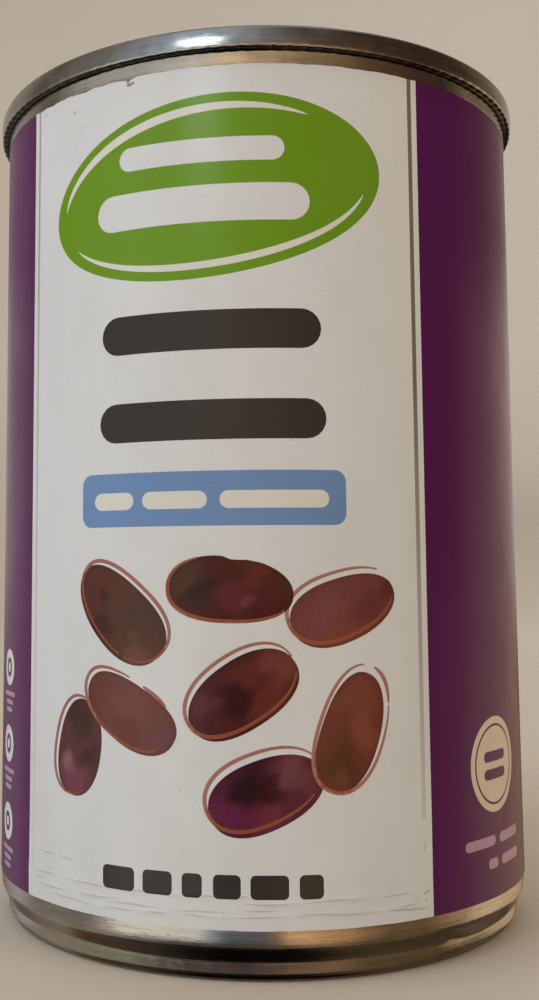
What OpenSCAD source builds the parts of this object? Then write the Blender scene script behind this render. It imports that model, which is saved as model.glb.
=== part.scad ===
// Canned beans: a shut steel can with a necked foot, a double-seamed top end and a wrapped paper label.
// Millimetres, +Z up, origin on the axis at the plane that the foot stands on. The label's front
// panel faces -Y and its paper lap is at the back, towards +Y.

/* [Can] */
// Overall height, from the standing ring to the top of the seam
can_h = 112.7; // [70:0.1:180]
// Outside diameter of the body wall
body_d = 73.8; // [60:0.1:110]
// Thickness of the body's sheet steel, which the top end's chuck wall presses on
wall_t = 0.22; // [0.15:0.01:0.4]

/* [Foot] */
// Height of the foot's wall, up to the start of the shoulder
foot_h = 2.5; // [2.2:0.1:6]
// How much smaller the foot's radius is than the body's, so that it nests in another can's top
foot_inset = 0.95; // [0.4:0.05:2]
// Height of the shoulder that runs out from the foot to the body wall
shoulder_h = 1.9; // [0.4:0.05:3]
// Radius of the foot's outer corner
foot_corner = 1.5; // [0.5:0.1:2]
// Radius of the foot's inner corner, down from the base panel
foot_inner_corner = 0.9; // [0.4:0.1:2]
// Width of the flat ring that the can stands on
stand_w = 0.8; // [0.4:0.1:2]
// Depth of the base panel above the standing ring
base_recess = 2.8; // [2.2:0.1:4]

/* [Top end] */
// Height of the double seam
seam_h = 2.95; // [2.4:0.05:4]
// How far the double seam stands out from the body wall
seam_over = 1.2; // [0.8:0.05:2]
// Radius of the rounding over the top of the seam
seam_round = 0.6; // [0.3:0.05:0.7]
// Radius of the rounding under the seam's outer edge
seam_curl = 0.35; // [0.15:0.05:0.6]
// Thickness of the top end's sheet steel
lid_t = 0.24; // [0.15:0.01:0.4]
// How much the chuck wall widens from the countersink to the top of the seam
chuck_slant = 0.22; // [0:0.02:0.4]
// Depth of the countersink below the top of the seam
sink_depth = 3.3; // [3:0.05:4.5]
// Radius of the countersink's rounded bottom
sink_r = 0.55; // [0.4:0.05:1]
// Depth of the middle panel below the top of the seam
panel_depth = 2.3; // [1.4:0.05:2.4]
// Radius of the panel's rounded edge
panel_edge = 0.7; // [0.4:0.05:0.9]

/* [Beads] */
// Number of concentric beads in each end
bead_n = 3; // [0:1:5]
// Distance from one bead to the next
bead_pitch = 4.6; // [3:0.1:5]
// Width of a bead
bead_w = 2.6; // [1:0.1:3]
// Height of a bead
bead_h = 0.45; // [0.1:0.05:0.6]
// Distance from the panel's edge to the outermost bead
bead_margin = 3.4; // [2:0.1:5]

/* [Label] */
// Thickness of the label paper
label_t = 0.12; // [0.08:0.01:0.3]
// Height of bare wall under the label, above the shoulder
label_low_gap = 1.7; // [0:0.1:10]
// Height of bare wall over the label, up to the seam
label_top_gap = 1.5; // [0:0.1:10]
// Width of the glued lap at the back of the label
lap_w = 8; // [3:0.5:20]

/* [Hidden] */
$fn = 128;
ARC_STEPS = 6;
BEAD_STEPS = 8;

body_r = body_d / 2;
foot_r = body_r - foot_inset;
base_panel_r = foot_r - foot_corner - stand_w - foot_inner_corner;
shoulder_top = foot_h + shoulder_h;

seam_r = body_r + seam_over;
seam_bottom = can_h - seam_h;
chuck_low_r = body_r - wall_t - lid_t;       // inner face of the chuck wall, at the countersink
chuck_top_r = chuck_low_r + chuck_slant;     // the same face at the top of the seam
sink_z = can_h - sink_depth + sink_r;        // centre of the countersink's round bottom
sink_c = chuck_low_r - sink_r;
panel_z = can_h - panel_depth;
panel_c = sink_c - sink_r - panel_edge;      // centre of the panel's rounded edge

label_low = shoulder_top + label_low_gap;
label_high = seam_bottom - label_top_gap;
lap_angle = lap_w / (body_r + label_t) * 180 / PI;

// Points of an arc round c from angle a to angle b
function arc(c, r, a, b) =
    [for (i = [0 : ARC_STEPS]) c + r * [cos(a + (b - a) * i / ARC_STEPS), sin(a + (b - a) * i / ARC_STEPS)]];

// Points of one concentric bead in a panel at height z: a raised-cosine bump round radius r
function bead(r, z) =
    [for (i = [0 : BEAD_STEPS]) [r + bead_w * (i / BEAD_STEPS - 0.5),
                                 z + bead_h * (1 - cos(360 * i / BEAD_STEPS)) / 2]];

// Panel outline from the axis out to its last bead, for a panel of radius edge at height z
function panel_line(edge, z) = concat(
    [[0, z]],
    [for (k = [bead_n - 1 : -1 : 0]) for (p = bead(edge - bead_margin - k * bead_pitch, z)) p]);

// Outer face of the top end, from the axis over the panel and down into the countersink
function lid_line(t) = concat(
    panel_line(panel_c, panel_z - t),
    arc([panel_c, panel_z - panel_edge], panel_edge - t, 90, 0),
    arc([sink_c, sink_z], sink_r + t, 180, 360));

// Where the chuck wall's outer face passes height z
function chuck_outer_r(z) =
    chuck_low_r + lid_t + chuck_slant * (z - sink_z) / (can_h - seam_round - sink_z);

module profile_solid(points) {
    rotate_extrude() polygon(points);
}

// The drawn body with its necked foot, filled up to the underside of the top end
module can_body() {
    color([0.66, 0.62, 0.56])
    profile_solid(concat(
        panel_line(base_panel_r, base_recess),
        arc([base_panel_r, base_recess - foot_inner_corner], foot_inner_corner, 90, 0),
        [[base_panel_r + foot_inner_corner, 0]],
        arc([foot_r - foot_corner, foot_corner], foot_corner, -90, 0),
        [[foot_r, foot_h]],
        [[body_r, shoulder_top]],
        [[body_r, seam_bottom], [chuck_outer_r(seam_bottom), seam_bottom]],
        [for (i = [len(lid_line(lid_t)) - 1 : -1 : 0]) lid_line(lid_t)[i]]));
}

// The end panel, countersink and chuck wall, rolled out into the double seam over the body
module top_end() {
    color([0.60, 0.57, 0.53])
    profile_solid(concat(
        lid_line(0),
        arc([chuck_top_r + seam_round, can_h - seam_round], seam_round, 180, 90),
        arc([seam_r - seam_round, can_h - seam_round], seam_round, 90, 0),
        arc([seam_r - seam_curl, seam_bottom + seam_curl], seam_curl, 0, -90),
        [[chuck_outer_r(seam_bottom), seam_bottom]],
        [for (i = [len(lid_line(lid_t)) - 1 : -1 : 0]) lid_line(lid_t)[i]]));
}

// A wedge from the axis between angles a and b, which reaches past radius r
module wedge(r, a, b) {
    polygon([[0, 0], for (angle = [a, (a + b) / 2, b]) 2 * r * [cos(angle), sin(angle)]]);
}

// The paper label, wrapped once round the body and glued over itself at the back
module label() {
    color([0.36, 0.12, 0.36])
    translate([0, 0, label_low])
    linear_extrude(label_high - label_low)
    difference() {
        union() {
            circle(body_r + label_t);
            intersection() {
                circle(body_r + 2 * label_t);
                wedge(body_r, 90 - lap_angle / 2, 90 + lap_angle / 2);
            }
        }
        circle(body_r);
    }
}

can_body();
top_end();
label();
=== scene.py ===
"""Canned beans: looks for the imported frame.

A shut steel can stands on its necked foot. Four pieces replace the three CAD nodes at their own sizes:
the steel body, the top end's panel and its seam ring, and the printed paper label.
The can's lengths are millimetres until a mesh is made, and the stage, the lights and the shaders' own
coordinates are in metres. U is the distance along the label from the middle of its front panel (-Y), to the
right as seen from the front. Azimuths run the same way, in degrees.
"""
import math

import bpy
import numpy as np
from mathutils import Matrix, Vector
from mathutils.geometry import delaunay_2d_cdt


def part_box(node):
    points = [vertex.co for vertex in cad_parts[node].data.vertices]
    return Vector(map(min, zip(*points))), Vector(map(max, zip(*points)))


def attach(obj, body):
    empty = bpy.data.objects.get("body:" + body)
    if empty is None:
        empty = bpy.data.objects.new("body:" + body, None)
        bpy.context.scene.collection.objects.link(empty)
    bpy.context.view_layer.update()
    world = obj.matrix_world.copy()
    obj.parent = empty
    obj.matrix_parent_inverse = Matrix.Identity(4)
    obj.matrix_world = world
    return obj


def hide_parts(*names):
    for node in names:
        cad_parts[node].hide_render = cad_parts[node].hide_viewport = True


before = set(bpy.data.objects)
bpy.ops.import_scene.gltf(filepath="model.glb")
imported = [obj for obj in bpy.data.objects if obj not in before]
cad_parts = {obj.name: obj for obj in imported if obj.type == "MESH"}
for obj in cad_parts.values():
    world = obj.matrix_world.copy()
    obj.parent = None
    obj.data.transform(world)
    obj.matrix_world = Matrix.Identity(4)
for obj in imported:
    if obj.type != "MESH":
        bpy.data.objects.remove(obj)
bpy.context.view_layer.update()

MM = 0.001
TAU = 2 * math.pi

# ---------------- sizes, from the frame
_, body_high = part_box("can_body")
_, top_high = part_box("top_end")
label_low, label_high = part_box("label")

CAN_H = top_high.z / MM
BODY_R = body_high.x / MM
SEAM_R = top_high.x / MM
PAPER_T = label_high.x / MM - BODY_R
LABEL_LOW = label_low.z / MM
LABEL_HIGH = label_high.z / MM
SEAM_H = 2.95
SEAM_BOTTOM = CAN_H - SEAM_H


def clamp01(x):
    return np.clip(x, 0.0, 1.0)


def smooth(x, low, high):
    """0 below low, 1 above high and an S-curve between."""
    t = clamp01((x - low) / (high - low))
    return t * t * (3 - 2 * t)


def linear(r, g, b):
    """An sRGB colour given from 0 to 255, as the linear values that shaders use."""
    def channel(c):
        c = c / 255
        return c / 12.92 if c <= 0.04045 else ((c + 0.055) / 1.055) ** 2.4
    return np.array([channel(r), channel(g), channel(b)])


def add_object(name, data):
    added = bpy.data.objects.new(name, data)
    bpy.context.scene.collection.objects.link(added)
    return added


# ---------------- camera
# the camera stands this far from the can's axis, this high and this much to the right of the front
CAMERA_FROM_AXIS = 171.05
CAMERA_H = 47.29
CAMERA_AZIMUTH = 9.52
CAMERA_YAW = -11.82
CAMERA_PITCH = 5.324
CAMERA_ROLL = -0.275
LENS_MM = 41.2
SENSOR_MM = 36
SHIFT_X = 0.0583
SHIFT_Y = -0.0399


def make_camera():
    """A phone held close, a little below the can's middle and to the right of its front, and tipped up."""
    azimuth, yaw = math.radians(CAMERA_AZIMUTH), math.radians(CAMERA_YAW)
    pitch, roll = math.radians(CAMERA_PITCH), math.radians(CAMERA_ROLL)
    level = math.cos(pitch)
    forward = Vector((math.sin(yaw) * level, math.cos(yaw) * level, math.sin(pitch)))
    right = Vector((math.cos(yaw), -math.sin(yaw), 0))
    up = right.cross(forward)
    turned_right = math.cos(roll) * right + math.sin(roll) * up
    turned_up = math.cos(roll) * up - math.sin(roll) * right
    data = bpy.data.cameras.new("camera")
    data.lens = LENS_MM
    data.sensor_width = SENSOR_MM
    data.shift_x, data.shift_y = SHIFT_X, SHIFT_Y
    data.clip_start, data.clip_end = 0.01, 20
    camera = add_object("camera", data)
    place = Vector((math.sin(azimuth), -math.cos(azimuth), 0)) * CAMERA_FROM_AXIS
    place.z = CAMERA_H
    turn = Matrix((turned_right, turned_up, -forward)).transposed()
    camera.matrix_world = Matrix.Translation(place * MM) @ turn.to_4x4()
    bpy.context.scene.camera = camera


# ---------------- node helpers
class Nodes:
    """A short way to write a node tree."""

    def __init__(self, tree):
        self.tree = tree
        self.tree.nodes.clear()

    def add(self, kind, inputs=(), **settings):
        node = self.tree.nodes.new(kind)
        for key, value in settings.items():
            setattr(node, key, value)
        for key, value in dict(inputs).items():
            self.feed(node.inputs[key], value)
        return node

    def feed(self, socket, value):
        """Links a socket or sets it. An array is a colour without its alpha."""
        if isinstance(value, bpy.types.NodeSocket):
            self.tree.links.new(value, socket)
        else:
            socket.default_value = (*value, 1) if isinstance(value, np.ndarray) else value

    def math(self, operation, a, b=0.0):
        return self.add("ShaderNodeMath", {0: a, 1: b}, operation=operation).outputs[0]

    def times(self, first, *others):
        for other in others:
            first = self.math("MULTIPLY", first, other)
        return first

    def mix(self, factor, a, b, blend="MIX"):
        node = self.add("ShaderNodeMix", data_type="RGBA", blend_type=blend)
        self.feed(node.inputs["Factor"], factor)
        self.feed(node.inputs[6], a)
        self.feed(node.inputs[7], b)
        return node.outputs[2]

    def ramp(self, value, low, high, to_low=0.0, to_high=1.0):
        return self.add("ShaderNodeMapRange", {0: value, 1: low, 2: high, 3: to_low, 4: to_high},
                        interpolation_type="SMOOTHSTEP").outputs[0]

    def noise(self, where, scale, detail=2.0, rough=0.5):
        return self.add("ShaderNodeTexNoise", {"Vector": where, "Scale": scale, "Detail": detail,
                                               "Roughness": rough}).outputs[0]

    def stretched(self, where, x, y, z):
        return self.add("ShaderNodeMapping", {"Vector": where, "Scale": (x, y, z)}).outputs[0]

    def squares(self, a, b):
        return self.math("ADD", self.times(a, a), self.times(b, b))

    def round_axis(self):
        """Object coordinates, and the same point as an angle round Z, a distance from Z and a height."""
        place = self.add("ShaderNodeTexCoord").outputs["Object"]
        x, y, z = self.add("ShaderNodeSeparateXYZ", {0: place}).outputs
        angle = self.math("ARCTAN2", x, self.times(y, -1.0))
        return place, angle, self.math("SQRT", self.squares(x, y)), z

    def unrolled(self, radius):
        """A surface of revolution laid flat: (distance round it, distance from the axis, height)."""
        _, angle, out, z = self.round_axis()
        return self.add("ShaderNodeCombineXYZ", {0: self.times(angle, radius), 1: out, 2: z}).outputs[0]


def new_material(name):
    material = bpy.data.materials.new(name)
    material.use_nodes = True
    return material, Nodes(material.node_tree)


def add_surface(n, inputs):
    shader = n.add("ShaderNodeBsdfPrincipled", inputs)
    n.add("ShaderNodeOutputMaterial", {"Surface": shader.outputs[0]})


# ---------------- materials
# painted shade in the crease under the seam, in heights from the seam's lower edge: it starts, is full,
# fades and ends
CREASE_FROM = -0.12
CREASE_FULL = 0.02
CREASE_FADES = 0.11
CREASE_TO = 0.25
# the darker band on the seam's outer top edge: depths under the top and distances in from the outer side
RIM_DARK_FROM = 0.42
RIM_DARK_FULL = 0.14
RIM_DARK_IN_FROM = 0.72
RIM_DARK_IN_FULL = 0.48
RIM_DARK_STRENGTH = 0.8
BODY_TINPLATE = np.array([0.60, 0.58, 0.55])
LID_TINPLATE = np.array([0.55, 0.53, 0.51])


def seam_crease_shade(n):
    """How far a point is into the painted shade of the crease under the seam, which is broken into short
    dashes.
    """
    place, angle, out, z = n.round_axis()
    wander = n.times(n.noise(place, 90, 1.0), 5.0)
    wave = n.math("SINE", n.math("ADD", n.times(angle, TEETH), wander))
    dashes = n.ramp(wave, -0.9, -0.2, 0.82, 1.0)
    low = n.ramp(z, (SEAM_BOTTOM + CREASE_FROM) * MM, (SEAM_BOTTOM + CREASE_FULL) * MM)
    high = n.ramp(z, (SEAM_BOTTOM + CREASE_FADES) * MM, (SEAM_BOTTOM + CREASE_TO) * MM, 1.0, 0.0)
    outside = n.ramp(out, (BODY_R - 0.3) * MM, (BODY_R - 0.1) * MM)
    return n.times(low, high, outside, dashes)


def rim_darkening(n):
    """How far a point is into the darker band on the seam's outer top edge."""
    _, _, out, z = n.round_axis()
    high = n.ramp(z, (CAN_H - RIM_DARK_FROM) * MM, (CAN_H - RIM_DARK_FULL) * MM)
    outside = n.ramp(out, (SEAM_R - RIM_DARK_IN_FROM) * MM, (SEAM_R - RIM_DARK_IN_FULL) * MM)
    return n.times(high, outside, RIM_DARK_STRENGTH)


def tinplate(name, color, rough_low, rough_high, scuffs):
    """Tinplate: rolling streaks, soft blotches and smudges, fine scuffs, a darker band on the seam's top
    edge, and painted shade in the crease under the seam.
    """
    material, n = new_material(name)
    where = n.unrolled(BODY_R * MM)
    streaks = n.noise(n.stretched(where, 60, 2500, 2500), 1.0, 3.0, 0.6)
    blotches = n.noise(where, 260, 3.0, 0.6)
    scratches = n.noise(n.stretched(where, 900, 200, 6000), 1.0, 1.0, 0.5)
    scuffed = n.ramp(scratches, 0.66, 0.74)
    tint = n.mix(n.ramp(blotches, 0.3, 0.7), color * 0.86, color)
    tint = n.mix(n.times(scuffed, scuffs), tint, color * 0.45)
    smudges = n.ramp(n.noise(n.stretched(where, 110, 700, 1300), 1.0, 3.0, 0.6), 0.42, 0.66)
    tint = n.mix(n.times(smudges, 0.5), tint, color * 0.55)
    # the steel is darker towards the seam's outer top edge
    tint = n.mix(rim_darkening(n), tint, color * 0.22)
    # painted shade: the steel darkens in the crease under the seam
    tint = n.mix(seam_crease_shade(n), tint, color * 0.14)
    rough = n.ramp(blotches, 0.35, 0.7, rough_low, rough_high)
    rough = n.math("ADD", rough, n.times(scuffed, 0.18))
    height = n.math("ADD", n.times(streaks, 0.5), n.times(scratches, 0.25))
    bump = n.add("ShaderNodeBump", {"Strength": 0.35, "Distance": 0.00006, "Height": height})
    add_surface(n, {"Base Color": tint, "Metallic": 1.0, "Roughness": rough, "Normal": bump.outputs[0]})
    return material


def printed_paper():
    """Coated label paper: the mesh's own colours are its ink, with fibre relief and faint soiling."""
    material, n = new_material("label_paper")
    where = n.unrolled((BODY_R + PAPER_T) * MM)
    ink = n.add("ShaderNodeAttribute", attribute_name="ink").outputs["Color"]
    fibre = n.noise(where, 9000, 2.0, 0.6)
    cloud = n.noise(n.stretched(where, 120, 120, 60), 1.0, 4.0, 0.6)
    specks = n.noise(where, 2600, 1.0, 0.5)
    toned = n.mix(n.ramp(cloud, 0.35, 0.75, 0.0, 0.5), ink, (0.90, 0.88, 0.86, 1), "MULTIPLY")
    toned = n.mix(n.ramp(fibre, 0.3, 0.7, 0.0, 0.5), toned, (0.93, 0.93, 0.93, 1), "MULTIPLY")
    toned = n.mix(n.ramp(specks, 0.74, 0.80, 0.0, 0.6), toned, (0.6, 0.57, 0.54, 1), "MULTIPLY")
    rough = n.ramp(cloud, 0.3, 0.7, 0.40, 0.55)
    waves = n.noise(n.stretched(where, 60, 60, 260), 1.0, 2.0, 0.5)
    height = n.math("ADD", n.times(fibre, 0.12), waves)
    bump = n.add("ShaderNodeBump", {"Strength": 0.4, "Distance": 0.00012, "Height": height})
    add_surface(n, {"Base Color": toned, "Roughness": rough, "Specular IOR Level": 0.08,
                    "Coat Weight": 0.52, "Coat Roughness": 0.20, "Normal": bump.outputs[0]})
    return material


def plain_stage():
    """A plain pale floor and a paler wall round it, which glows a little, both faintly clouded."""
    material, n = new_material("stage")
    place, _, _, z = n.round_axis()
    cloud = n.noise(place, 6.0, 3.0, 0.5)
    tint = n.mix(n.ramp(z, 0.0, 0.3), FLOOR_PALE, WALL_PALE)
    tint = n.mix(n.ramp(cloud, 0.3, 0.7, 0.0, 0.06), tint, STAGE_TAN)
    glow = n.ramp(z, 0.0, 0.16, 0.0, WALL_GLOW)
    add_surface(n, {"Base Color": tint, "Roughness": 0.7, "Emission Color": tint,
                    "Emission Strength": glow})
    return material


# ---------------- meshes
def add_mesh(name, points, faces, material, sharp_deg=None):
    """A mesh object from points in millimetres."""
    mesh = bpy.data.meshes.new(name)
    mesh.from_pydata([(x * MM, y * MM, z * MM) for x, y, z in points], [], faces)
    mesh.validate()
    mesh.materials.append(material)
    mesh.shade_smooth()
    if sharp_deg is not None:
        mesh.set_sharp_from_angle(angle=math.radians(sharp_deg))
    return add_object(name, mesh)


def lathe(profile, steps, shape=None):
    """Points and faces of a closed outline of (r, z) turned round Z. shape(r, z, angle) moves a point."""
    points, faces, rings = [], [], []
    for r, z in profile:
        if r < 1e-9:
            rings.append([len(points)])
            points.append((0.0, 0.0, z))
            continue
        rings.append(list(range(len(points), len(points) + steps)))
        for i in range(steps):
            angle = TAU * i / steps
            out, high = shape(r, z, angle) if shape else (r, z)
            points.append((out * math.sin(angle), -out * math.cos(angle), high))
    for a, b in zip(rings, rings[1:] + rings[:1]):
        if len(a) == 1 and len(b) == 1:
            continue
        for i in range(steps):
            j = (i + 1) % steps
            if len(a) == 1:
                faces.append((a[0], b[j], b[i]))
            elif len(b) == 1:
                faces.append((a[i], a[j], b[0]))
            else:
                faces.append((a[i], a[j], b[j], b[i]))
    return points, faces


def arc(centre, radius, start, end, steps):
    """Points of an arc, angles in degrees."""
    angles = [math.radians(start + (end - start) * i / steps) for i in range(steps + 1)]
    return [(centre[0] + radius * math.cos(a), centre[1] + radius * math.sin(a)) for a in angles]


def bead(r, z, width, height, steps=14):
    """A raised-cosine ring bead in a flat panel."""
    return [(r + width * (i / steps - 0.5), z + height * (1 - math.cos(TAU * i / steps)) / 2)
            for i in range(steps + 1)]


# ---------------- steel body and its foot
# the foot: how far it is in from the wall, its outer corner's radius, how far its side leans in, and how
# far in the ring that it stands on ends
FOOT_INSET = 0.95
FOOT_CORNER = 1.35
FOOT_LEAN = 0.07
CORNER_AND_STAND = 2.3
INNER_CORNER = 0.9
BASE_RECESS = 2.8
BEAD_PITCH = 4.6
BEAD_W = 2.6
BEAD_H = 0.45
BEAD_MARGIN = 3.4
BEADS = 3
BODY_STEPS = 480
# the shoulder, as (distance in from the wall, height): a hollow curve out of the foot, a straight slope
# with points enough for the dent, and a curve into the wall
SHOULDER = [(0.95, 2.2), (0.94, 2.34), (0.91, 2.45), (0.865, 2.56), (0.76, 2.76), (0.64, 2.99),
            (0.52, 3.22), (0.40, 3.45), (0.28, 3.68), (0.17, 3.89), (0.10, 4.05), (0.055, 4.2),
            (0.025, 4.37), (0.005, 4.6)]
# the wall widens by this much under the seam, over this length
FLARE = 0.26
FLARE_FROM = LABEL_HIGH - 0.3
FLARE_TO = SEAM_BOTTOM + 0.2
# the body is closed here, under the top end
BODY_TOP = CAN_H - 3.6
DENT = dict(azimuth=48.5, z=3.0, depth=0.26, half_width=2.6, half_height=0.42)


def panel_beads(edge, z):
    """The concentric beads of a flat panel, from the inner one out."""
    return [p for k in reversed(range(BEADS))
            for p in bead(edge - BEAD_MARGIN - k * BEAD_PITCH, z, BEAD_W, BEAD_H)]


def dented(r, z, angle):
    """A small knock in the shoulder, front right, that catches the light."""
    across = (angle - math.radians(DENT["azimuth"])) * BODY_R / DENT["half_width"]
    up = (z - DENT["z"] + 0.1 * across) / DENT["half_height"]
    if r < BODY_R - 2:
        return r, z
    return r - DENT["depth"] * math.exp(-across * across - up * up), z


def make_body(material):
    """The body: beaded base, foot, shoulder and wall, closed under the top end."""
    foot_r = BODY_R - FOOT_INSET
    panel_r = foot_r - CORNER_AND_STAND - INNER_CORNER
    profile = [(0, BASE_RECESS)]
    profile += panel_beads(panel_r, BASE_RECESS)
    profile += arc((panel_r, BASE_RECESS - INNER_CORNER), INNER_CORNER, 90, 0, 6)
    profile += [(panel_r + INNER_CORNER, 0.35), (panel_r + INNER_CORNER + 0.1, 0.08)]
    profile += [(foot_r - CORNER_AND_STAND + 0.15, 0), (foot_r - FOOT_CORNER - 0.1, 0)]
    profile += arc((foot_r - FOOT_CORNER - FOOT_LEAN, FOOT_CORNER), FOOT_CORNER, -86, -5, 14)
    profile += [(BODY_R - in_from_wall, z) for in_from_wall, z in SHOULDER]
    profile += [(BODY_R, 5.2), (BODY_R, LABEL_LOW), (BODY_R, FLARE_FROM)]
    profile += [(BODY_R + FLARE * t, FLARE_FROM + (FLARE_TO - FLARE_FROM) * t)
                for t in (0.2, 0.4, 0.6, 0.8, 1.0)]
    profile += [(BODY_R - 0.4, FLARE_TO), (BODY_R - 1.8, BODY_TOP), (0, BODY_TOP)]
    points, faces = lathe(profile, BODY_STEPS, dented)
    piece = add_mesh("body_steel", points, faces, material, 38)
    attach(piece, "root")
    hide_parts("can_body")


# ---------------- top end: panel, countersink and seam
LID_T = 0.24
SINK_DEPTH = 3.3
SINK_R = 0.55
PANEL_DEPTH = 2.3
PANEL_EDGE = 0.7
CHUCK_SLANT = 0.22
WALL_T = 0.22
SEAM_ROUND = 0.6
SEAM_CURL = 0.35
TEETH = 122
TOOTH_DEPTH = 0.04
TOOTH_LIFT = 0.05
# how far the seam's face falls back from its middle to its top and to its bottom
SEAM_BULGE = 0.07
SEAM_BULGE_LOW = 0.025


def make_top_end(material):
    """The panel with its beads and countersink, and the double seam with its pinched lower edge."""
    chuck_low = BODY_R - WALL_T - LID_T
    chuck_top = chuck_low + CHUCK_SLANT
    sink_c, sink_z = chuck_low - SINK_R, CAN_H - SINK_DEPTH + SINK_R
    panel_c, panel_z = sink_c - SINK_R - PANEL_EDGE, CAN_H - PANEL_DEPTH

    def sheet(t):
        """The end's outline from its middle to the countersink, t under its upper face."""
        line = [(0, panel_z - t)] + panel_beads(panel_c, panel_z - t)
        line += arc((panel_c, panel_z - PANEL_EDGE), PANEL_EDGE - t, 90, 0, 8)
        line += arc((sink_c, sink_z), SINK_R + t, 180, 355, 12)
        return line

    over, under = sheet(0), sheet(LID_T)
    points, faces = lathe(over + under[::-1], 256)
    panel = add_mesh("end_panel", points, faces, material, 38)

    def teeth(r, z, angle):
        """The seam's lower edge is pinched in shallow teeth all round."""
        low = float((1 - smooth(z, SEAM_BOTTOM, SEAM_BOTTOM + 0.5)) * smooth(r, BODY_R + 0.3, SEAM_R - 0.4))
        pinch = (0.5 - 0.5 * math.cos(TEETH * angle + 0.6 * math.sin(5 * angle))) ** 2
        return r - TOOTH_DEPTH * low * pinch, z + TOOTH_LIFT * low * pinch

    ring = arc((sink_c, sink_z), SINK_R, 350, 360, 2)
    ring += arc((chuck_top + SEAM_ROUND, CAN_H - SEAM_ROUND), SEAM_ROUND, 176, 90, 9)
    ring += arc((SEAM_R - SEAM_ROUND - SEAM_BULGE, CAN_H - SEAM_ROUND), SEAM_ROUND, 90, 12, 9)
    face_low, face_high = SEAM_BOTTOM + 0.55, CAN_H - 0.6
    face_mid, face_half = (face_low + face_high) / 2, (face_high - face_low) / 2
    ring += [(SEAM_R - SEAM_BULGE * t * t, face_mid + face_half * t) for t in (0.85, 0.6, 0.3, 0)]
    ring += [(SEAM_R - SEAM_BULGE_LOW * t * t, face_mid + face_half * t) for t in (-0.3, -0.6, -0.85, -1)]
    ring += arc((SEAM_R - SEAM_BULGE_LOW - SEAM_CURL, SEAM_BOTTOM + SEAM_CURL), SEAM_CURL, -10, -90, 5)
    ring += [(SEAM_R - 0.75, SEAM_BOTTOM + 0.03), (BODY_R + 0.2, SEAM_BOTTOM + 0.2)]
    ring += [(BODY_R - 0.05, SEAM_BOTTOM + 0.3), (BODY_R - WALL_T + 0.02, SEAM_BOTTOM + 0.3)]
    points, faces = lathe(ring, TEETH * 10, teeth)
    seam = add_mesh("seam_ring", points, faces, material, 42)
    for piece in (panel, seam):
        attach(piece, "root")
        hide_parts("top_end")


# ---------------- print on the label
# inks
WHITE = linear(214, 219, 224)
PALE_INK = linear(216, 219, 214)
PURPLE = linear(83, 18, 84)
GREEN = linear(106, 150, 24)
BLUE = linear(108, 142, 191)
CHARCOAL = linear(52, 48, 46)
GREY_LINE = linear(118, 108, 98)
CREAM = linear(212, 200, 186)
LILAC = linear(176, 142, 168)
OUTLINE = (146, 94, 84)
UNDERLINE = (126, 66, 46)
# the painted shade along the label's creases
CREASE_SHADE_INK = linear(194, 193, 197)
SCUFF_INK = linear(150, 147, 148)
# the width of the painted shade lines along the creases
CREASE_SHADE_W = 0.2
# the white front panel reaches this far to each side
PANEL_HALF = 27.7
# the hair lines inside its edges: middle u, width, lower end, height where each is darkest, its darkness
PANEL_LINES = [(-26.55, 0.42, 9.5, 95, 0.62), (26.55, 0.62, 17.5, 70, 1.0)]
# the badge: middle, half length, half height, tilt, and its two pale arcs as start, end and width
OVAL = ((0.0, 93.2), 22.0, 11.3, 6.0)
OVAL_ARCS = [(48, 172, 1.1), (205, 345, 0.9)]
ARC_INSET = 1.6
# greeked words: from u, to u, height of the middle, thickness
BADGE_WORDS = [(-11.3, 9.8, 97.6, 3.0), (-14.6, 12.8, 91.0, 4.6)]
NAME_WORDS = [(-13.8, 14.0, 75.5, 4.8), (-14.1, 14.5, 64.7, 4.8)]
CLAIM_WORDS = [(-14.9, -9.2, 55.2, 2.1), (-8.0, 0.2, 55.2, 2.1), (1.7, 14.7, 55.2, 2.1)]
SEAL_WORDS = [(37.85, 43.65, 23.35, 1.3), (37.85, 43.65, 21.15, 1.3)]
CAPTION_WORDS = [(33.4, 40.3, 13.1, 1.25), (41.5, 48.0, 13.1, 1.25), (38.4, 40.9, 10.3, 1.25),
                 (42.0, 48.0, 10.3, 1.25)]
# boxes: from u, to u, from z, to z, corner radius
CLAIM_BOX = (-16.9, 16.8, 52.1, 58.6, 1.4)
WEIGHT_BOXES = [(u0, u1, 9.6, 12.3, 0.6) for u0, u1 in
                ((-13.4, -9.0), (-7.9, -4.2), (-3.0, -0.6), (0.7, 3.9), (5.0, 9.4), (10.6, 13.4))]
# the seal's disc at the right and the ring in it, and the three discs at the left with their rings
SEAL = (40.75, 22.35)
SEAL_R = 5.9
SEAL_RING = (5.0, 4.7)
DISC_U = -36.2
DISC_Z = (33.9, 23.8, 13.65)
DISC_R = 2.43
DISC_RING = (1.3, 0.65)
# the words under each disc: half width, how far below its middle
DISC_WORDS = [(2.8, 3.5), (1.9, 4.6), (1.6, 5.6)]
DISC_WORD_LOWEST = 7.5
# scuffs on the front panel: middle (u, z), length, width, tilt in degrees, darkness
SCUFFS = [(-9.7, 107.35, 1.3, 0.6, 15, 1.0), (-18.8, 105.7, 0.8, 0.4, 20, 0.5),
          (-25.0, 107.2, 1.0, 0.25, 80, 0.5), (-16.4, 103.25, 3.4, 0.16, 3, 0.3),
          (26.6, 14.3, 1.5, 0.3, 84, 0.3), (26.7, 9.1, 1.0, 0.35, 20, 0.5), (25.3, 8.6, 0.7, 0.2, 50, 0.3),
          (26.6, 8.2, 0.4, 0.3, 0, 0.5), (24.2, 7.45, 5.6, 0.3, -4, 0.5)]


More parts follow.
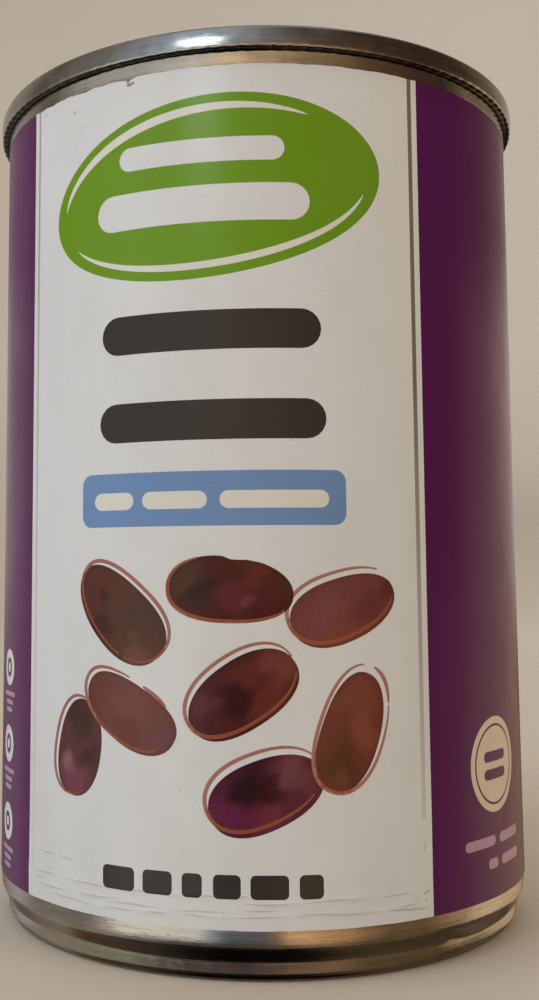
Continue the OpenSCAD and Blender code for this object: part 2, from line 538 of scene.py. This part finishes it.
class Field:
    """One printed field: closed loops of (u, z), filled where an odd number of them holds a point."""

    def __init__(self, loops, ink):
        self.loops = [np.array(loop, float) for loop in loops]
        self.ink = ink if callable(ink) else (lambda p, c=np.array(ink): np.tile(c, (len(p), 1)))

    def holds(self, points):
        odd = np.zeros(len(points), bool)
        for loop in self.loops:
            near = np.all((points >= loop.min(0)) & (points <= loop.max(0)), axis=1)
            x, y = points[near, 0][:, None], points[near, 1][:, None]
            x0, y0 = loop[:, 0][None], loop[:, 1][None]
            x1, y1 = np.roll(loop[:, 0], -1)[None], np.roll(loop[:, 1], -1)[None]
            cross = (y0 > y) != (y1 > y)
            with np.errstate(divide="ignore", invalid="ignore"):
                at = x0 + (y - y0) / (y1 - y0) * (x1 - x0)
            odd[near] ^= (np.sum(cross & (x < at), axis=1) % 2).astype(bool)
        return odd


def turned(points, centre, tilt_deg):
    """Points turned about their own origin, which is then moved to centre."""
    c, s = math.cos(math.radians(tilt_deg)), math.sin(math.radians(tilt_deg))
    return [(centre[0] + x * c - y * s, centre[1] + x * s + y * c) for x, y in points]


def ellipse(centre, a, b, tilt=0.0, steps=72):
    angles = [TAU * i / steps for i in range(steps)]
    return turned([(a * math.cos(t), b * math.sin(t)) for t in angles], centre, tilt)


def rounded_box(u0, u1, z0, z1, radius, steps=5):
    corners = ((u1, z1, 0), (u0, z1, 90), (u0, z0, 180), (u1, z0, 270))
    loop = []
    for u, z, start in corners:
        cu = u - radius if u == u1 else u + radius
        cz = z - radius if z == z1 else z + radius
        loop += arc((cu, cz), radius, start, start + 90, steps)
    return loop


def bar(u0, u1, z, height, ink):
    """A greeked word: a bar with round ends in the place of lettering."""
    return Field([rounded_box(u0, u1, z - height / 2, z + height / 2, height / 2 * 0.999)], ink)


def strip(u0, u1, z0, z1, step=2.0):
    """A long box with points along its sides."""
    rows = max(1, int(round((z1 - z0) / step)))
    left = [(u0, z0 + (z1 - z0) * i / rows) for i in range(rows + 1)]
    return left + [(u1, z) for u, z in reversed(left)]


def ribbon(curve, width):
    """A closed loop along a curve of points, width(t) wide, pointed where the width is nothing."""
    curve = np.array(curve, float)
    along = np.gradient(curve, axis=0)
    side = np.stack([-along[:, 1], along[:, 0]], 1) / np.linalg.norm(along, axis=1)[:, None]
    half = np.array([max(width(i / (len(curve) - 1)), 0.02) / 2 for i in range(len(curve))])[:, None]
    return [tuple(p) for p in curve + side * half] + [tuple(p) for p in (curve - side * half)[::-1]]


def bean_curve(bean, grow=0.0, shift=(0.0, 0.0), start=0.0, end=360.0, steps=64):
    """A kidney: an ellipse with blunt ends, one side hollowed and one end fuller, or a part of its line."""
    u, z, a, b, tilt, bend, taper = bean["form"]
    points = []
    for i in range(steps + (0 if end - start >= 360 else 1)):
        t = math.radians(start + (end - start) * i / steps)
        c, s = math.cos(t), math.sin(t)
        x = math.copysign(abs(c) ** BLUNT_ENDS, c)
        y = math.copysign(abs(s) ** BLUNT_SIDES, s) * (1 + taper * x)
        for place, depth in bean.get("nicks", ()):
            y -= depth / b * math.exp(-((x - place) / NICK_W) ** 2) * (s > 0)
        points.append(((a + grow) * x, (b + grow) * y + bend * (x * x - 0.5)))
    return turned(points, (u + shift[0], z + shift[1]), tilt)


# form: middle (u, z), half length, half width, tilt, bend, taper. shift, grow: how far the drawn line sits
# off the fill. lines: the stretches of outline drawn, in degrees. nicks: (place along the upper side,
# depth). base, washes: the fill's main tone and pools of other tones, each as (place along, place across,
# size, tone) with 1 at the bean's end or side. Tones are the colours as seen in the scene's light
BEANS = [
    dict(form=(-17.4, 25.5, 5.9, 3.55, 79, 0.15, -0.06), shift=(-0.55, 0.3), grow=0.05,
         base=(86, 54, 53), lines=((-20, 215),),
         washes=((0.7, 0.1, 0.6, (62, 46, 38)), (-0.65, 0.0, 0.55, (110, 62, 76)),
                 (-0.15, -0.55, 0.3, (66, 44, 38)), (-0.35, 0.35, 0.22, (128, 86, 94)))),
    dict(form=(-9.8, 30.1, 6.7, 3.6, -31, 0.3, 0.05), shift=(-0.4, 0.5), grow=0.0,
         base=(97, 57, 51), lines=((100, 330), (52, 86)),
         washes=((-0.1, 0.2, 0.5, (103, 61, 55)), (0.9, 0.1, 0.3, (96, 54, 68)),
                 (0.2, -0.7, 0.4, (94, 50, 42)), (-0.8, -0.2, 0.3, (98, 56, 50)))),
    dict(form=(6.9, 21.2, 7.0, 4.0, 22, -0.1, -0.06), shift=(-0.35, 0.75), grow=0.05,
         base=(74, 26, 42), lines=((20, 315),),
         washes=((-0.2, 0.45, 0.42, (30, 12, 13)), (-0.75, -0.25, 0.42, (87, 32, 56)),
                 (-0.2, -0.7, 0.4, (98, 40, 50)), (0.55, 0.25, 0.4, (98, 54, 60)),
                 (0.15, 0.1, 0.3, (50, 20, 22)), (0.75, -0.35, 0.3, (84, 38, 46)))),
    dict(form=(16.9, 28.1, 7.1, 3.65, 71, 0.2, -0.04), shift=(0.25, 0.42), grow=0.42,
         base=(96, 48, 39), lines=((10, 298), (-60, -6)),
         washes=((0.6, 0.0, 0.5, (106, 56, 46)), (-0.55, 0.0, 0.5, (72, 42, 30)),
                 (0.1, -0.5, 0.35, (112, 58, 46)), (-0.1, 0.5, 0.3, (88, 46, 40)),
                 (-0.85, -0.3, 0.25, (94, 52, 38)))),
    dict(form=(4.3, 32.5, 7.15, 4.0, 33, -0.15, 0.02), shift=(-0.4, 0.55), grow=0.05,
         base=(70, 28, 28), lines=((0, 335),),
         washes=((0.75, 0.1, 0.45, (104, 52, 46)), (-0.2, -0.05, 0.4, (46, 17, 13)),
                 (-0.65, 0.35, 0.3, (84, 36, 42)), (0.2, 0.5, 0.3, (86, 38, 36)),
                 (0.3, -0.5, 0.4, (90, 40, 32)), (-0.8, -0.35, 0.25, (58, 24, 24)))),
    dict(form=(16.4, 42.3, 6.75, 3.75, 19, 0.1, -0.09), shift=(-0.3, 0.65), grow=0.05,
         base=(100, 52, 50), lines=((38, 338),),
         washes=((0.45, -0.2, 0.4, (90, 44, 41)), (-0.3, 0.2, 0.4, (104, 57, 56)),
                 (-0.2, -0.75, 0.4, (108, 54, 42)), (0.85, 0.1, 0.25, (84, 42, 38)))),
    dict(form=(2.7, 44.5, 7.6, 3.9, -4, -0.25, -0.07), shift=(0.06, 0.1), grow=-0.12,
         base=(64, 24, 22), lines=((120, 330),), nicks=((0.05, 0.42), (0.3, 0.12)),
         washes=((-0.75, 0.25, 0.42, (70, 41, 29)), (-0.38, -0.1, 0.34, (42, 15, 11)),
                 (0.12, -0.1, 0.36, (84, 31, 38)), (0.7, 0.0, 0.4, (70, 28, 30)),
                 (0.35, 0.6, 0.3, (86, 36, 34)), (0.4, -0.2, 0.16, (98, 44, 50)))),
    dict(form=(-11.2, 41.7, 7.3, 4.1, -43, 0.3, 0.09), shift=(0.35, 0.45), grow=0.0,
         base=(77, 46, 37), lines=((-60, 300),),
         washes=((-0.65, 0.0, 0.45, (82, 44, 39)), (0.35, 0.3, 0.45, (66, 47, 37)),
                 (-0.35, 0.1, 0.13, (58, 32, 30)), (0.7, -0.5, 0.35, (100, 62, 52)),
                 (-0.2, -0.75, 0.3, (60, 36, 29)))),
]
OUTLINE_W = 0.5
# the powers that fill out a bean's ends and sides, and the width of a nick in shares of its half length
BLUNT_ENDS = 0.88
BLUNT_SIDES = 0.90
NICK_W = 0.13
# how much of each channel the scene's light brings back from the paper's middle, how that changes with u,
# and what the coating adds to it
LIT = np.array([0.79, 0.70, 0.63])
LIT_SLOPE = np.array([-0.003, -0.0045, -0.005])
SHEEN = 0.006


def pigment(tone, u):
    """The ink that is seen as this tone at u, once the scene lights it and the coating adds its sheen."""
    return np.maximum(linear(*tone) - SHEEN, 0.001) / (LIT + LIT_SLOPE * u)


def bean_ink(bean):
    """A wash of the bean's main tone, with pools of its other tones whose edges wander."""
    u, z, a, b, tilt = bean["form"][:5]
    c, s = math.cos(math.radians(tilt)), math.sin(math.radians(tilt))

    def ink(points):
        x = ((points[:, 0] - u) * c + (points[:, 1] - z) * s) / a
        y = (-(points[:, 0] - u) * s + (points[:, 1] - z) * c) / b
        ratio = a / b
        wander_x = 0.09 * np.sin(4.1 * y + u) + 0.05 * np.sin(9.3 * y - 5 * x + z)
        wander_y = 0.10 * np.sin(5.3 * x + z) + 0.06 * np.sin(11.1 * x + 4 * y + u)
        wash = np.tile(pigment(bean["base"], u), (len(points), 1))
        for px, py, size, tone in bean["washes"]:
            off = np.hypot((x + wander_x - px) * ratio ** 0.5, (y + wander_y - py) / ratio ** 0.5)
            pool = (1 - smooth(off, size * 0.45, size * 1.5))[:, None] * 0.85
            wash = wash * (1 - pool) + pigment(tone, u) * pool
        grain = np.sin(23 * x + 9 * y + u) * np.sin(19 * y - 7 * x + z)
        edge = smooth(np.hypot(x, y), 0.82, 1.0)
        return wash * (1 + 0.06 * grain - 0.14 * edge)[:, None]
    return ink


def outline_width(t):
    """The width of a drawn outline at t, from 0 to 1 along it: nearly even, with blunt tips."""
    return OUTLINE_W * math.sin(math.pi * min(max(t, 0.03), 0.97)) ** 0.35


def bean_fields(bean):
    """The fill, and the outline drawn over it: rosy on bare paper and orange-brown on the fill."""
    fill = Field([bean_curve(bean)], bean_ink(bean))
    u = bean["form"][0]

    def line_ink(points):
        inside = fill.holds(points)[:, None]
        return np.where(inside, pigment(UNDERLINE, u), pigment(OUTLINE, u))

    fields = [fill]
    for start, end in bean["lines"]:
        steps = max(12, int((end - start) / 6))
        curve = bean_curve(bean, bean["grow"], bean["shift"], start, end, steps)
        fields.append(Field([ribbon(curve, outline_width)], line_ink))
    return fields


def faded(ink, paper, z_low, z_high, least, most):
    """An ink that fades into the paper towards the bottom."""
    def at(points):
        t = (least + (most - least) * clamp01((points[:, 1] - z_low) / (z_high - z_low)))[:, None]
        return paper * (1 - t) + ink * t
    return at


def crease_shade_marks(crease):
    """Broken hair lines of painted shade along a crease."""
    u0, u1, z0, _ = crease
    marks = []
    u, k = u0 + 1.0, 0
    while u < u1 - 2.5:
        if u < 1 - PANEL_HALF:
            u += 1
            continue
        length = 3.0 + 2.4 * (1 + math.sin(5.1 * k + z0))
        run = np.linspace(u, min(u + length, u1 - 1), 9)
        curve = [(x, float(crease_line(x, crease))) for x in run]
        marks.append(Field([ribbon(curve, lambda t: CREASE_SHADE_W * math.sin(math.pi * t))], CREASE_SHADE_INK))
        u += length + 0.5 + 0.8 * (1 + math.sin(3.7 * k + 2 * z0))
        k += 1
    return marks


def scuff_marks():
    """Short rubbed marks in the white, pointed at both ends."""
    marks = []
    for u, z, length, width, tilt, darkness in SCUFFS:
        ink = WHITE + (SCUFF_INK - WHITE) * darkness
        line = [(length * (i / 8 - 0.5), 0.15 * width * math.sin(2.6 * i)) for i in range(9)]
        curve = turned(line, (u, z), tilt)
        marks.append(Field([ribbon(curve, lambda t, w=width: w * math.sin(math.pi * t) ** 0.7)], ink))
    return marks


def words(places, ink):
    return [bar(*place, ink) for place in places]


def printed_disc(centre, radius, ink, steps=72):
    return Field([ellipse(centre, radius, radius, 0, steps)], ink)


def printed_ring(centre, radii, ink, steps=(72, 72)):
    return Field([ellipse(centre, r, r, 0, count) for r, count in zip(radii, steps)], ink)


def panel_lines():
    """The grey hair lines at the front panel's two edges, which fade downwards."""
    return [Field([strip(u - width / 2, u + width / 2, low, LABEL_HIGH + 1)],
                  faded(GREY_LINE, WHITE, 5, full, 0.05, most))
            for u, width, low, full, most in PANEL_LINES]


def badge_fields():
    """The green oval with its two pale arcs and its two greeked words."""
    centre, a, b, tilt = OVAL
    fields = [Field([ellipse(centre, a, b, tilt, 96)], GREEN)]
    for start, end, width in OVAL_ARCS:
        angles = [math.radians(t) for t in range(start, end + 1, 3)]
        curve = turned([((a - ARC_INSET) * math.cos(t), (b - ARC_INSET) * math.sin(t)) for t in angles],
                       centre, tilt)
        fields.append(Field([ribbon(curve, lambda t, w=width: w * math.sin(math.pi * t) ** 0.6)], PALE_INK))
    return fields + words(BADGE_WORDS, WHITE)


def front_fields():
    """What the white front panel carries, from the back layer to the front one."""
    fields = [Field([strip(-PANEL_HALF, PANEL_HALF, LABEL_LOW - 1, LABEL_HIGH + 1)], WHITE)]
    fields += panel_lines() + badge_fields() + words(NAME_WORDS, CHARCOAL)
    fields += [Field([rounded_box(*CLAIM_BOX)], BLUE)] + words(CLAIM_WORDS, PALE_INK)
    for bean in BEANS:
        fields += bean_fields(bean)
    # painted shade along the creases low on the front panel
    for crease in CREASES:
        fields += crease_shade_marks(crease)
    fields += scuff_marks()
    return fields + [Field([rounded_box(*box)], CHARCOAL) for box in WEIGHT_BOXES]


def side_fields():
    """Discs and greeked small print on the purple beside the front panel."""
    fields = [printed_disc(SEAL, SEAL_R, CREAM), printed_ring(SEAL, SEAL_RING, PURPLE)]
    fields += words(SEAL_WORDS, PURPLE) + words(CAPTION_WORDS, LILAC)
    for z in DISC_Z:
        fields += [printed_disc((DISC_U, z), DISC_R, WHITE, 48),
                   printed_ring((DISC_U, z), DISC_RING, PURPLE, (32, 24))]
        fields += [bar(DISC_U - half, DISC_U + half, z - drop, 0.6, LILAC)
                   for half, drop in DISC_WORDS if z - drop > DISC_WORD_LOWEST]
    return fields


def back_fields():
    """Plain greeked panels round the back: a framed white one at the right and pale lines at the left."""
    fields = [Field([rounded_box(66, 100, 16, 98, 0.6)], WHITE),
              Field([rounded_box(66.8, 99.2, 16.8, 97.2, 0.3), rounded_box(67.1, 98.9, 17.1, 96.9, 0.3)],
                    CHARCOAL),
              bar(69, 90, 92.5, 2.6, CHARCOAL)]
    for k in range(11):
        z = 86.5 - 6.2 * k
        width = 13 + 5 * math.sin(2.3 * k + 1)
        fields += [bar(69, 69 + width, z, 1.1, CHARCOAL), bar(93, 97, z, 1.1, CHARCOAL),
                   Field([strip(68.6, 97.4, z - 3.2, z - 3.0, 100)], GREY_LINE)]
    for k in range(12):
        z = 92 - 4.1 * k
        width = 30 - (6 + 5 * math.sin(1.9 * k)) * (k % 4 == 3)
        fields.append(bar(-98, -98 + width, z, 1.2, LILAC))
    return fields


# ---------------- the label's paper
LAP_W = 8.0
PAPER_R = BODY_R + PAPER_T
HALF_WRAP = math.pi * PAPER_R + LAP_W / 2
# creases low on the front panel: from u, to u, height of the line, how far the paper stands up there
CREASES = [(-30, 6, 9.5, 0.05), (-27, -6, 8.2, 0.06), (-24, 17, 7.3, 0.05), (3, 26, 9.1, 0.05),
           (-36, -23, 8.8, 0.07), (12, 27, 7.7, 0.05), (-14, 10, 8.0, 0.03), (-26.5, -17, 12.0, 0.03)]


def crease_line(u, crease):
    """The height of a crease along the label: it sags, wanders and jogs."""
    u0, _, z0, _ = crease
    return z0 + 0.09 * np.sin(u * 0.37 + 3 * z0) + 0.03 * np.sin(u * 1.3 + 5 * z0) + 0.014 * (u - u0)


def paper_lift(u, z):
    """How far the paper stands off the steel: slack waves low down, sharp little creases and the lap."""
    slack = 1 + np.sin(u * 0.21 + 1.3) * np.sin(z * 0.35 + u * 0.05)
    lift = 0.05 * (1 - smooth(z, 8, 30)) * slack * 0.5
    for crease in CREASES:
        u0, u1, z0, relief = crease
        along = smooth(u, u0, u0 + 4) * (1 - smooth(u, u1 - 4, u1)) * (0.6 + 0.4 * np.sin(u * 0.8 + 7 * z0))
        lift = lift + relief * along * np.exp(-((z - crease_line(u, crease)) / 0.22) ** 2)
    flare = np.exp(-((u - 47) / 10) ** 2) * (1 - smooth(z, LABEL_LOW, LABEL_LOW + 4))
    lift = lift + 0.12 * flare
    top_slack = 0.5 + 0.5 * np.sin(u * 0.47) * np.sin(u * 0.11 + 1)
    lift = lift + 0.05 * (1 - smooth(LABEL_HIGH - z, 0.0, 1.6)) * top_slack
    lap = smooth(u, HALF_WRAP - LAP_W - 1.2, HALF_WRAP - LAP_W)
    return lift * (1 - 0.7 * lap) + PAPER_T * lap


def paper_edge(u, z):
    """The cut edges aren't quite straight: how far a point near the top or bottom edge moves along Z."""
    near_top = smooth(z, LABEL_HIGH - 1.0, LABEL_HIGH)
    near_low = 1 - smooth(z, LABEL_LOW, LABEL_LOW + 1.0)
    wander = 0.05 * np.sin(u * 0.13 + 2) + 0.03 * np.sin(u * 0.9) + 0.02 * np.sin(u * 2.3 + 1)
    nick = 0.55 * np.exp(-((u + 10.0) / 0.45) ** 2) + 0.18 * np.exp(-((u + 17.5) / 1.6) ** 2)
    frayed = 0.16 * (1 - smooth(u, -12, -4)) * smooth(u, -30, -26)
    frayed = frayed * np.abs(np.sin(u * 2.9) * np.sin(u * 1.3 + 1))
    return -near_top * (0.1 + np.abs(wander) + nick + frayed) + near_low * (0.05 + np.abs(wander) * 0.5)


def wrap(points, depth=0.0):
    """Label points (u, z) on the can, depth under the paper's outer face."""
    u, z = points[:, 0], points[:, 1]
    r = PAPER_R + paper_lift(u, z) - depth
    angle = u / PAPER_R
    return np.stack([r * np.sin(angle), -r * np.cos(angle), z + paper_edge(u, z)], 1)


def grid(u0, u1, z0, z1, du, dz):
    """Filler points, every other row shifted by half a step."""
    rows = []
    for k, z in enumerate(np.arange(z0, z1, dz)):
        rows += [(u, z) for u in np.arange(u0 + (k % 2) * du / 2, u1, du)]
    return rows


def divided(loop, step=1.2):
    """The loop with points added, so that no side is long enough to cut across the can's curve."""
    points = []
    for (u0, z0), (u1, z1) in zip(loop, np.roll(loop, -1, axis=0)):
        count = max(1, math.ceil(max(abs(u1 - u0) / step, abs(z1 - z0) / (2 * step))))
        points += [(u0 + (u1 - u0) * i / count, z0 + (z1 - z0) * i / count) for i in range(count)]
    return points


def sheet_outline():
    """The label's cut outline, with points along its edges."""
    columns = int(2 * HALF_WRAP / 0.8)
    low = [(-HALF_WRAP + 2 * HALF_WRAP * i / columns, LABEL_LOW) for i in range(columns + 1)]
    high = [(u, LABEL_HIGH) for u, z in reversed(low)]
    rows = 40
    right = [(HALF_WRAP, LABEL_LOW + (LABEL_HIGH - LABEL_LOW) * i / rows) for i in range(1, rows)]
    left = [(-HALF_WRAP, LABEL_HIGH - (LABEL_HIGH - LABEL_LOW) * i / rows) for i in range(1, rows)]
    return low + right + high + left


def label_loops(fields):
    """The sheet's outline and every printed edge, divided along their length and kept inside the sheet."""
    for loop in [sheet_outline()] + [loop for field in fields for loop in field.loops]:
        yield [(min(max(u, -HALF_WRAP), HALF_WRAP), min(max(z, LABEL_LOW), LABEL_HIGH))
               for u, z in divided(loop)]


def filler_points():
    """Points between the printed edges, closer together low on the label, on the beans and at the lap."""
    points = grid(-HALF_WRAP + 0.7, HALF_WRAP - 0.3, LABEL_LOW + 1.3, LABEL_HIGH - 0.4, 1.6, 2.6)
    points += grid(-36, 36, LABEL_LOW + 0.3, 11.5, 1.1, 0.22)
    points += grid(36, 58, LABEL_LOW + 0.4, 11.0, 1.1, 0.7)
    fine = np.array(grid(-22.5, 24.5, 16.0, 49.5, 0.34, 0.30))
    on_bean = np.any([Field([bean_curve(bean, -0.1)], WHITE).holds(fine) for bean in BEANS], axis=0)
    points += [tuple(p) for p in fine[on_bean]]
    lap_edge = HALF_WRAP - LAP_W
    return points + grid(lap_edge - 1.3, lap_edge + 0.1, LABEL_LOW + 1, LABEL_HIGH - 1, 0.2, 2.0)


def flat_label(fields):
    """The label laid flat, as triangles that follow every printed edge: their corners and their faces."""
    points, edges = [], []
    for loop in label_loops(fields):
        first = len(points)
        points += loop
        edges += [(first + i, first + (i + 1) % len(loop)) for i in range(len(loop))]
    points += filler_points()
    corners, _, faces, *_ = delaunay_2d_cdt([Vector(p) for p in points], edges, [], 0, 1e-5)
    return np.array([(p.x, p.y) for p in corners]), np.array([f for f in faces if len(f) == 3])


def printed_ink(fields, flat, faces):
    """The ink at each corner of each face, from the last field that holds the face's middle."""
    ink = np.tile(PURPLE, (len(faces) * 3, 1))
    middle = flat[faces].mean(1)
    corners = flat[faces].reshape(-1, 2)
    for field in fields:
        held = np.repeat(field.holds(middle), 3)
        if held.any():
            ink[held] = field.ink(corners[held])
    return ink


def rim_faces(faces, count):
    """Faces across the cut edges. The inner side's points are count further on than the outer side's."""
    sides = {}
    for a, b, c in faces.tolist():
        for side in ((a, b), (b, c), (c, a)):
            if side[::-1] in sides:
                del sides[side[::-1]]
            else:
                sides[side] = True
    return [(b, a, a + count, b + count) for a, b in sides]


def paper_normals(flat, outer, inner, faces, rim):
    """A normal for each corner of each face: smooth on the paper's sides and square to its cut edges."""
    step = 0.02
    across = wrap(flat + (step, 0)) - wrap(flat - (step, 0))
    up = wrap(flat + (0, step)) - wrap(flat - (0, step))
    normal = np.cross(across, up)
    normal /= np.linalg.norm(normal, axis=1)[:, None]
    normals = [tuple(n) for n in normal[faces].reshape(-1, 3)]
    normals += [tuple(n) for n in -normal[faces[:, ::-1]].reshape(-1, 3)]
    for b, a, *_ in rim:
        square = np.cross(outer[a] - outer[b], inner[b] - outer[b])
        square /= np.linalg.norm(square) + 1e-12
        normals += [tuple(square)] * 4
    return normals


def make_label(material):
    """The paper wrapped round the can: its printed outer side, its bare inner side and the rim between."""
    fields = front_fields() + side_fields() + back_fields()
    flat, faces = flat_label(fields)
    outer, inner = wrap(flat), wrap(flat, PAPER_T)
    count = len(flat)
    rim = rim_faces(faces, count)
    sheet = np.concatenate([faces, faces[:, ::-1] + count]).tolist()
    mesh = bpy.data.meshes.new("paper_label")
    mesh.from_pydata([tuple(p * MM) for p in np.concatenate([outer, inner])], [], sheet + rim)
    mesh.materials.append(material)
    mesh.shade_smooth()
    bare = np.tile(WHITE * 0.9, (len(faces) * 3 + len(rim) * 4, 1))
    ink = clamp01(np.concatenate([printed_ink(fields, flat, faces), bare]))
    colour = mesh.attributes.new("ink", "FLOAT_COLOR", "CORNER")
    colour.data.foreach_set("color", np.c_[ink, np.ones(len(ink))].astype(np.float32).ravel())
    mesh.normals_split_custom_set(paper_normals(flat, outer, inner, faces, rim))
    piece = add_object("paper_label", mesh)
    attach(piece, "root")
    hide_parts("label")


# ---------------- stage, lights and surroundings
WALL_PALE = linear(214, 207, 197)
FLOOR_PALE = linear(191, 182, 169)
STAGE_TAN = linear(164, 140, 106)
WALL_GLOW = 0.17
# the stage, in metres: a flat floor, a cove that rises from it, and a wall
FLOOR_R = 0.75
COVE_R = 0.45
WALL_R = FLOOR_R + COVE_R
WALL_TOP = 1.5
STAGE_STEPS = 96
# the height that the lights face, in metres
AIM_HEIGHT = 0.056


def make_stage(material):
    """A round floor that curves up into a wall far outside every view's camera."""
    profile = [(0.25, 0), (0.5, 0), (FLOOR_R, 0)]
    angles = [math.radians(a) for a in range(6, 91, 6)]
    profile += [(FLOOR_R + COVE_R * math.sin(a), COVE_R - COVE_R * math.cos(a)) for a in angles]
    profile += [(WALL_R, 0.9), (WALL_R, WALL_TOP)]
    turns = [TAU * i / STAGE_STEPS for i in range(STAGE_STEPS)]
    points = [(0, 0, 0)]
    for r, z in profile:
        points += [(r * math.cos(turn), r * math.sin(turn), z) for turn in turns]
    faces = [(0, 1 + i, 1 + (i + 1) % STAGE_STEPS) for i in range(STAGE_STEPS)]
    for ring in range(len(profile) - 1):
        first = 1 + ring * STAGE_STEPS
        for i in range(STAGE_STEPS):
            a, b = first + i, first + (i + 1) % STAGE_STEPS
            faces.append((a, a + STAGE_STEPS, b + STAGE_STEPS, b))
    mesh = bpy.data.meshes.new("stage")
    mesh.from_pydata(points, [], faces)
    mesh.materials.append(material)
    mesh.shade_smooth()
    stage = add_object("stage", mesh)
    stage.visible_glossy = False


def area_light(name, azimuth, elevation, distance, size, power, color):
    """A soft light that faces the can's middle and doesn't show in its steel."""
    data = bpy.data.lights.new(name, "AREA")
    data.shape = "RECTANGLE"
    data.size, data.size_y = size
    data.energy = power
    data.color = color
    light = add_object(name, data)
    a, e = math.radians(azimuth), math.radians(elevation)
    target = Vector((0, 0, AIM_HEIGHT))
    away = Vector((math.sin(a) * math.cos(e), -math.cos(a) * math.cos(e), math.sin(e)))
    light.location = target + away * distance
    light.rotation_mode = "QUATERNION"
    light.rotation_quaternion = away.to_track_quat("Z", "Y")
    light.visible_glossy = False


# what the steel shows of its surroundings, one list for each band of heights: (azimuth, seen colour)
UNDER = [(-180, 60, 50, 42), (-104, 66, 50, 38), (-58, 44, 38, 34), (-25, 18, 15, 13),
         (32, 18, 15, 13), (66, 68, 54, 37), (106, 60, 49, 34), (180, 60, 50, 42)]
FOOT = [(-180, 30, 25, 20), (-145, 80, 70, 60), (-100, 122, 110, 98), (-60, 116, 111, 95),
        (-24, 68, 62, 55), (0, 68, 58, 54), (34, 106, 83, 64), (70, 84, 67, 46), (106, 62, 50, 36),
        (140, 80, 64, 50), (180, 36, 30, 25)]
STRIP = [(-180, 38, 32, 26), (-150, 100, 92, 84), (-117, 142, 131, 128), (-98, 108, 101, 92),
         (-63, 112, 105, 96), (-52, 208, 201, 190), (-16, 200, 196, 184), (-10, 134, 140, 146),
         (-4, 86, 91, 99), (9, 82, 84, 92), (15, 117, 98, 85), (23, 208, 164, 114), (45, 164, 126, 86),
         (54, 122, 95, 68), (66, 94, 74, 52), (82, 96, 73, 50), (98, 140, 114, 82),
         (116, 186, 160, 126), (150, 164, 138, 106), (180, 38, 32, 26)]
WALL = [(-180, 206, 200, 194), (-125, 156, 150, 142), (-92, 92, 87, 74), (-62, 158, 154, 146),
        (-35, 164, 160, 152), (-14, 190, 182, 166), (0, 208, 182, 142), (12, 172, 148, 116),
        (34, 128, 104, 76), (66, 72, 52, 34), (98, 54, 38, 30), (118, 158, 134, 110),
        (150, 184, 166, 148), (180, 206, 200, 194)]
SEAM = [(-180, 150, 142, 132), (-117, 124, 116, 107), (-92, 90, 84, 74), (-58, 108, 104, 99),
        (-38, 130, 136, 146), (-20, 152, 162, 176), (-4, 146, 152, 158), (11, 112, 112, 113),
        (34, 78, 66, 56), (70, 56, 43, 30), (104, 50, 36, 24), (128, 88, 75, 58), (150, 124, 112, 96),
        (180, 150, 142, 132)]
STEEL_TONE = 0.58
# the bands above UNDER, each with the elevations between which it takes over from the one below
BANDS = [(FOOT, -48, -38), (STRIP, -24, -19), (WALL, -6, 2), (SEAM, 11, 16)]
NADIR = linear(14, 11, 9)
CEILING = linear(190, 184, 176)
WINDOW = dict(azimuth=-13, elevation=24, half_width=11, half_height=6, color=linear(225, 243, 255),
              strength=4.4)


def band_color(n, turn, stops):
    """One band of the surroundings: a soft ramp of colours round the horizon."""
    ramp = n.add("ShaderNodeValToRGB", {0: turn})
    ramp.color_ramp.interpolation = "EASE"
    elements = ramp.color_ramp.elements
    while len(elements) < len(stops):
        elements.new(0.5)
    for element, (azimuth, *seen) in zip(elements, stops):
        element.position = (azimuth + 180) / 360
        element.color = (*(linear(*seen) / STEEL_TONE), 1)
    return ramp.outputs[0]


def make_world():
    """Surroundings as bands of soft colour, from the worktop below to the ceiling, and one window."""
    world = bpy.data.worlds.new("surroundings")
    bpy.context.scene.world = world
    world.use_nodes = True
    n = Nodes(world.node_tree)
    way = n.add("ShaderNodeTexCoord").outputs["Generated"]
    x, y, z = n.add("ShaderNodeSeparateXYZ", {0: way}).outputs
    azimuth = n.times(n.math("ARCTAN2", x, n.times(y, -1.0)), 180 / math.pi)
    elevation = n.times(n.math("ARCSINE", z), 180 / math.pi)
    turn = n.math("ADD", n.times(azimuth, 1 / 360), 0.5)
    color = n.mix(n.ramp(elevation, -72, -60), NADIR, band_color(n, turn, UNDER))
    for stops, low, high in BANDS:
        color = n.mix(n.ramp(elevation, low, high), color, band_color(n, turn, stops))
    color = n.mix(n.ramp(elevation, 45, 75), color, CEILING)
    across = n.math("DIVIDE", n.math("SUBTRACT", azimuth, WINDOW["azimuth"]), WINDOW["half_width"])
    up = n.math("DIVIDE", n.math("SUBTRACT", elevation, WINDOW["elevation"]), WINDOW["half_height"])
    shine = WINDOW["color"] * WINDOW["strength"]
    color = n.mix(n.ramp(n.squares(across, up), 0.3, 1.2, 1.0, 0.0), color, shine)
    sky = n.add("ShaderNodeBackground", {"Color": color, "Strength": 1.0})
    n.add("ShaderNodeOutputWorld", {"Surface": sky.outputs[0]})


def make_lights():
    """A cool window at the left, a warm lamp at the right, and a fill from above and from behind."""
    area_light("window", -48, 34, 0.75, (0.55, 0.75), 3.4, (0.90, 0.945, 1.0))
    area_light("lamp", 62, 30, 0.8, (0.5, 0.5), 1.55, (1.0, 0.75, 0.50))
    area_light("overhead", 5, 80, 0.9, (0.8, 0.8), 1.45, (0.94, 0.97, 1.0))
    area_light("back_fill", 180, 30, 0.9, (0.8, 0.6), 2.0, (1.0, 0.97, 0.93))


# ---------------- build
bpy.context.scene.view_settings.view_transform = "Standard"
make_camera()
make_stage(plain_stage())
make_world()
make_lights()
make_body(tinplate("body_steel", BODY_TINPLATE, 0.10, 0.22, 0.4))
make_top_end(tinplate("lid_steel", LID_TINPLATE, 0.12, 0.28, 0.5))
make_label(printed_paper())
